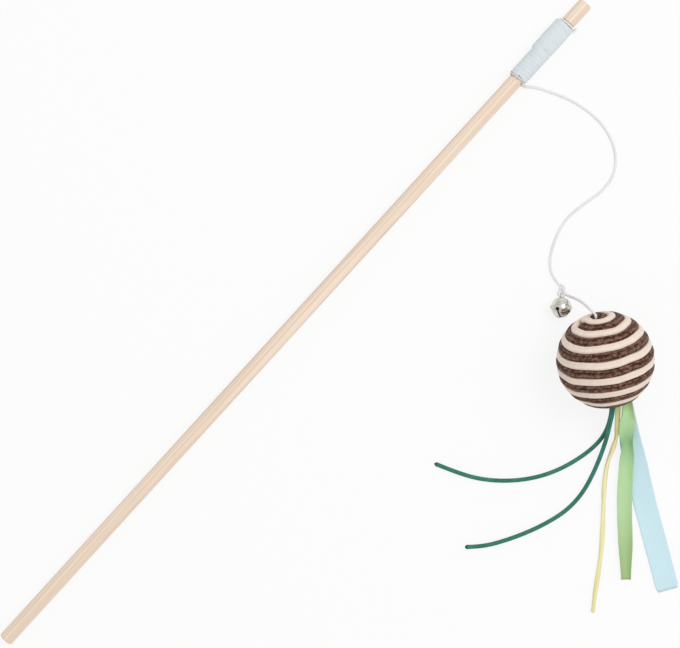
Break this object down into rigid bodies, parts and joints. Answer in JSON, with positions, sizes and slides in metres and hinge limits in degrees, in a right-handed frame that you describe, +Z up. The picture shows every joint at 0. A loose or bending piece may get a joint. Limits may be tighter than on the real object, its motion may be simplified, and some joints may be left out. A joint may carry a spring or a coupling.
{
  "type": "cat teaser wand",
  "caption": "Wooden rod with a lashed white cord that carries a round jingle bell and a two-colour wound ball trailing satin cords and ribbons.",
  "frame": {"origin": "centre of the rod's butt end face", "axes": "+X along the floor from the rod's butt towards its tip, +Z up from the floor it lies on, the cord and ball lie on the -Y side"},
  "size_m": [0.4, 0.2201, 0.0449],
  "materials": {
    "wood": "bare sanded dowel",
    "white_cord": "twisted cord",
    "pale_ribbon": "thin cloth ribbon",
    "nickel": "plated sheet metal, satin",
    "core": "dull wound filling",
    "brown_yarn": "mottled fibre strand",
    "cream_yarn": "smooth fibre strand",
    "plug": "dull filling",
    "teal_cord": "smooth satin cord, ends sealed",
    "yellow_cord": "soft crinkled cord",
    "green_ribbon": "satin ribbon",
    "blue_ribbon": "sheer satin ribbon",
    "pellet": "plain"
  },
  "bodies": {
    "wand": {"rod": "wood", "lashing_cord": "white_cord", "wrap_ribbon": "pale_ribbon"},
    "upper_cord": {"upper_cord": "white_cord", "bell_knot": "white_cord", "bell_loop": "white_cord"},
    "bell": {"bell_dome": "nickel", "bell_cup": "nickel", "bell_eye": "nickel"},
    "pellet": {"bell_pellet": "pellet"},
    "lower_cord": {"lower_cord": "white_cord"},
    "ball": {"ball_core": "core", "brown_strand": "brown_yarn", "cream_strand": "cream_yarn", "inner_cord": "white_cord", "stopper_knot": "white_cord", "streamer_plug": "plug"},
    "teal_cord_long": {"teal_cord_long": "teal_cord"},
    "teal_cord_short": {"teal_cord_short": "teal_cord"},
    "yellow_cord": {"yellow_cord": "yellow_cord"},
    "green_ribbon": {"green_ribbon": "green_ribbon"},
    "blue_ribbon": {"blue_ribbon": "blue_ribbon"}
  },
  "joints": [
    {"name": "cord_swing", "type": "hinge", "parent": "wand", "child": "upper_cord", "pos_m": [0.35236, -0.0046, -0.00232], "axis": [0, 0, 1], "range_deg": [-24, 46]},
    {"name": "bell_swing", "type": "hinge", "parent": "upper_cord", "child": "bell", "pos_m": [0.29217, -0.08331, -0.00059], "axis": [-0.6266, 0.7793, 0], "range_deg": [0, 40]},
    {"name": "pellet_bounce", "type": "slide", "parent": "bell", "child": "pellet", "axis": [0, 0, 1], "range_m": [0, 0.006]},
    {"name": "lower_cord_swing", "type": "hinge", "parent": "upper_cord", "child": "lower_cord", "pos_m": [0.29529, -0.0808, -0.0014], "axis": [0, 0, 1], "range_deg": [-3, 60]},
    {"name": "ball_swing", "type": "hinge", "parent": "lower_cord", "child": "ball", "pos_m": [0.29463, -0.09828, 0.02692], "axis": [0, 0, -1], "range_deg": [-45, 30]},
    {"name": "teal_long_swing", "type": "hinge", "parent": "ball", "child": "teal_cord_long", "pos_m": [0.27154, -0.13154, 0.01179], "axis": [0.1836, 0.2827, -0.9415], "range_deg": [0, 20]},
    {"name": "teal_short_lift", "type": "hinge", "parent": "ball", "child": "teal_cord_short", "pos_m": [0.27145, -0.13241, 0.01396], "axis": [-0.8387, 0.5446, 0], "range_deg": [0, 40]},
    {"name": "yellow_lift", "type": "hinge", "parent": "ball", "child": "yellow_cord", "pos_m": [0.27373, -0.13321, 0.01236], "axis": [-0.8387, 0.5446, 0], "range_deg": [0, 35]},
    {"name": "green_lift", "type": "hinge", "parent": "ball", "child": "green_ribbon", "pos_m": [0.27749, -0.13679, 0.01297], "axis": [-0.8387, 0.5446, 0], "range_deg": [0, 40]},
    {"name": "blue_swing", "type": "hinge", "parent": "ball", "child": "blue_ribbon", "pos_m": [0.27302, -0.13669, 0.00884], "axis": [-0.1836, -0.2827, 0.9415], "range_deg": [0, 10]}
  ]
}
